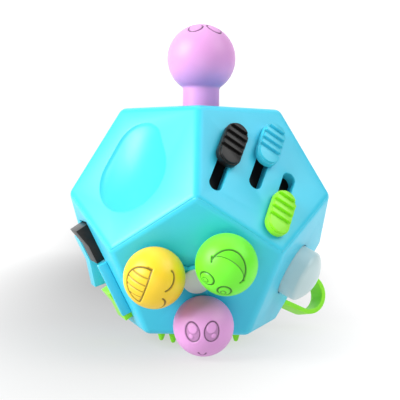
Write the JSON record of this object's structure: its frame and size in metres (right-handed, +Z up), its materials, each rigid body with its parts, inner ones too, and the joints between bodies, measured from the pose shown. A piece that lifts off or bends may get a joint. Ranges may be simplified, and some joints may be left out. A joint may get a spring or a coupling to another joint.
{
  "type": "fidget toy",
  "caption": "Hand-held twelve-sided fidget toy with a joystick, ball spinner, sliders, rockers, buttons, gears, dial, roller and a swinging loop.",
  "frame": {"origin": "middle of the plane that the soft nubs stand on, under the joystick", "axes": "+Z up along the joystick, -Y towards the side that carries the ball spinner, +X to the right of it"},
  "size_m": [0.0553, 0.0603, 0.066],
  "materials": {
    "casing_cyan": "satin moulded ABS with a fine texture",
    "cyan_plastic": "satin moulded ABS",
    "pink_plastic": "soft satin moulded plastic",
    "yellow_plastic": "soft satin moulded plastic",
    "green_plastic": "soft satin moulded plastic",
    "lime_plastic": "satin moulded plastic",
    "lime_silicone": "soft moulded silicone",
    "black_plastic": "satin moulded ABS",
    "inner_black": "matt moulded ABS",
    "grey_plastic": "satin moulded ABS",
    "grey_silicone": "matt silicone",
    "black_rubber": "matt rubber",
    "steel": "turned steel"
  },
  "bodies": {
    "root": {"shell_upper": "casing_cyan", "shell_lower": "casing_cyan", "casing_screws": "steel", "nub_pad": "lime_silicone", "joystick_socket": "inner_black", "joystick_spring": "steel", "slider_tray": "inner_black", "spinner_axle": "steel", "spinner_washer": "steel", "button_cup": "inner_black", "button_spring": "steel", "switch_frame": "inner_black", "switch_rail": "casing_cyan", "switch_pin_black": "steel", "switch_pin_cyan": "steel", "switch_pin_lime": "steel", "loop_lug": "lime_plastic", "loop_pin": "steel", "gear_frame": "inner_black", "gear_axle": "steel", "click_board": "inner_black", "click_dome_sheet": "grey_silicone", "roller_frame": "inner_black", "roller_axle": "steel"},
    "gimbal": {"joystick_gimbal": "grey_plastic", "gimbal_pins": "steel"},
    "joystick": {"joystick_knob": "pink_plastic", "joystick_stem": "black_plastic", "joystick_pin": "steel"},
    "slider_black": {"slider_cap_black": "black_plastic", "slider_foot_black": "inner_black"},
    "slider_cyan": {"slider_cap_cyan": "cyan_plastic", "slider_foot_cyan": "inner_black"},
    "slider_lime": {"slider_cap_lime": "lime_plastic", "slider_foot_lime": "inner_black"},
    "spinner": {"spinner_rotor": "cyan_plastic", "spinner_hub_cap": "grey_plastic", "spinner_ball_yellow": "yellow_plastic", "spinner_ball_green": "green_plastic", "spinner_ball_pink": "pink_plastic"},
    "push_button": {"button_cap": "grey_plastic"},
    "rocker_black": {"switch_black": "black_plastic"},
    "rocker_cyan": {"switch_cyan": "cyan_plastic"},
    "rocker_lime": {"switch_lime": "lime_plastic"},
    "loop": {"loop_strap": "lime_silicone"},
    "gear_a": {"gear_pink": "pink_plastic"},
    "gear_b": {"gear_yellow": "yellow_plastic"},
    "gear_c": {"gear_lime": "lime_plastic"},
    "click_1": {"click_button_1": "pink_plastic"},
    "click_2": {"click_button_2": "yellow_plastic"},
    "click_3": {"click_button_3": "lime_plastic"},
    "click_4": {"click_button_4": "black_plastic"},
    "click_5": {"click_button_5": "grey_plastic"},
    "dial": {"dial_disc": "pink_plastic", "dial_axle": "steel", "dial_washer": "steel"},
    "roller": {"roller_drum": "grey_plastic", "roller_tyre": "black_rubber"}
  },
  "joints": [
    {"name": "joystick_tilt_front_back", "type": "hinge", "parent": "root", "child": "gimbal", "pos_m": [0, 0, 0.0417], "axis": [1, 0, 0], "range_deg": [-10, 10], "stiffness_Nm_per_rad": 0.08},
    {"name": "joystick_tilt_left_right", "type": "hinge", "parent": "gimbal", "child": "joystick", "pos_m": [0, 0, 0.0417], "axis": [0, 1, 0], "range_deg": [-10, 10], "stiffness_Nm_per_rad": 0.08},
    {"name": "slide_black", "type": "slide", "parent": "root", "child": "slider_black", "axis": [0.2629, 0.6382, 0.7236], "range_m": [-0.0092, 0]},
    {"name": "slide_cyan", "type": "slide", "parent": "root", "child": "slider_cyan", "axis": [0.2629, 0.6382, 0.7236], "range_m": [-0.0092, 0]},
    {"name": "slide_lime", "type": "slide", "parent": "root", "child": "slider_lime", "axis": [0.2629, 0.6382, 0.7236], "range_m": [0, 0.0092]},
    {"name": "spinner_spin", "type": "hinge", "parent": "root", "child": "spinner", "pos_m": [0, -0.02012, 0.01564], "axis": [0, -0.8944, -0.4472], "continuous": true},
    {"name": "button_press", "type": "slide", "parent": "root", "child": "push_button", "axis": [0.8507, -0.2764, -0.4472], "range_m": [-0.0018, 0], "stiffness_N_per_m": 500, "springref_m": 0.001, "deforming": ["button_spring"]},
    {"name": "rock_black", "type": "hinge", "parent": "root", "child": "rocker_black", "pos_m": [-0.02097, -0.00681, 0.02172], "axis": [0.309, -0.9511, 0], "range_deg": [-14, 0]},
    {"name": "rock_cyan", "type": "hinge", "parent": "root", "child": "rocker_cyan", "pos_m": [-0.02126, 0.00119, 0.01734], "axis": [0.309, -0.9511, 0], "range_deg": [0, 14]},
    {"name": "rock_lime", "type": "hinge", "parent": "root", "child": "rocker_lime", "pos_m": [-0.01514, -0.00492, 0.00947], "axis": [0.309, -0.9511, 0], "range_deg": [-14, 0]},
    {"name": "loop_swing", "type": "hinge", "parent": "root", "child": "loop", "pos_m": [0.01695, 0.01312, 0.01072], "axis": [0.2629, 0.3618, 0.8944], "range_deg": [-40, 100]},
    {"name": "gear_a_turn", "type": "hinge", "parent": "root", "child": "gear_a", "pos_m": [-0.01642, 0.00533, 0.03433], "axis": [-0.309, -0.9511, 0], "continuous": true},
    {"name": "gear_b_turn", "type": "hinge", "parent": "root", "child": "gear_b", "pos_m": [-0.01642, 0.00533, 0.03433], "axis": [-0.309, -0.9511, 0], "continuous": true},
    {"name": "gear_c_turn", "type": "hinge", "parent": "root", "child": "gear_c", "pos_m": [-0.01642, 0.00533, 0.03433], "axis": [-0.309, -0.9511, 0], "continuous": true},
    {"name": "click_1_press", "type": "slide", "parent": "root", "child": "click_1", "axis": [0.8507, 0.2764, 0.4472], "range_m": [-0.001, 0], "stiffness_N_per_m": 600, "springref_m": 0.0005},
    {"name": "click_2_press", "type": "slide", "parent": "root", "child": "click_2", "axis": [0.8507, 0.2764, 0.4472], "range_m": [-0.001, 0], "stiffness_N_per_m": 600, "springref_m": 0.0005},
    {"name": "click_3_press", "type": "slide", "parent": "root", "child": "click_3", "axis": [0.8507, 0.2764, 0.4472], "range_m": [-0.001, 0], "stiffness_N_per_m": 600, "springref_m": 0.0005},
    {"name": "click_4_press", "type": "slide", "parent": "root", "child": "click_4", "axis": [0.8507, 0.2764, 0.4472], "range_m": [-0.001, 0], "stiffness_N_per_m": 600, "springref_m": 0.0005},
    {"name": "click_5_press", "type": "slide", "parent": "root", "child": "click_5", "axis": [0.8507, 0.2764, 0.4472], "range_m": [-0.001, 0], "stiffness_N_per_m": 600, "springref_m": 0.0005},
    {"name": "dial_turn", "type": "hinge", "parent": "root", "child": "dial", "pos_m": [0, 0.02012, 0.03576], "axis": [0, 0.8944, 0.4472], "continuous": true},
    {"name": "roller_turn", "type": "hinge", "parent": "root", "child": "roller", "pos_m": [-0.01015, 0.01397, 0.01707], "axis": [-0.809, -0.5878, 0], "continuous": true}
  ]
}
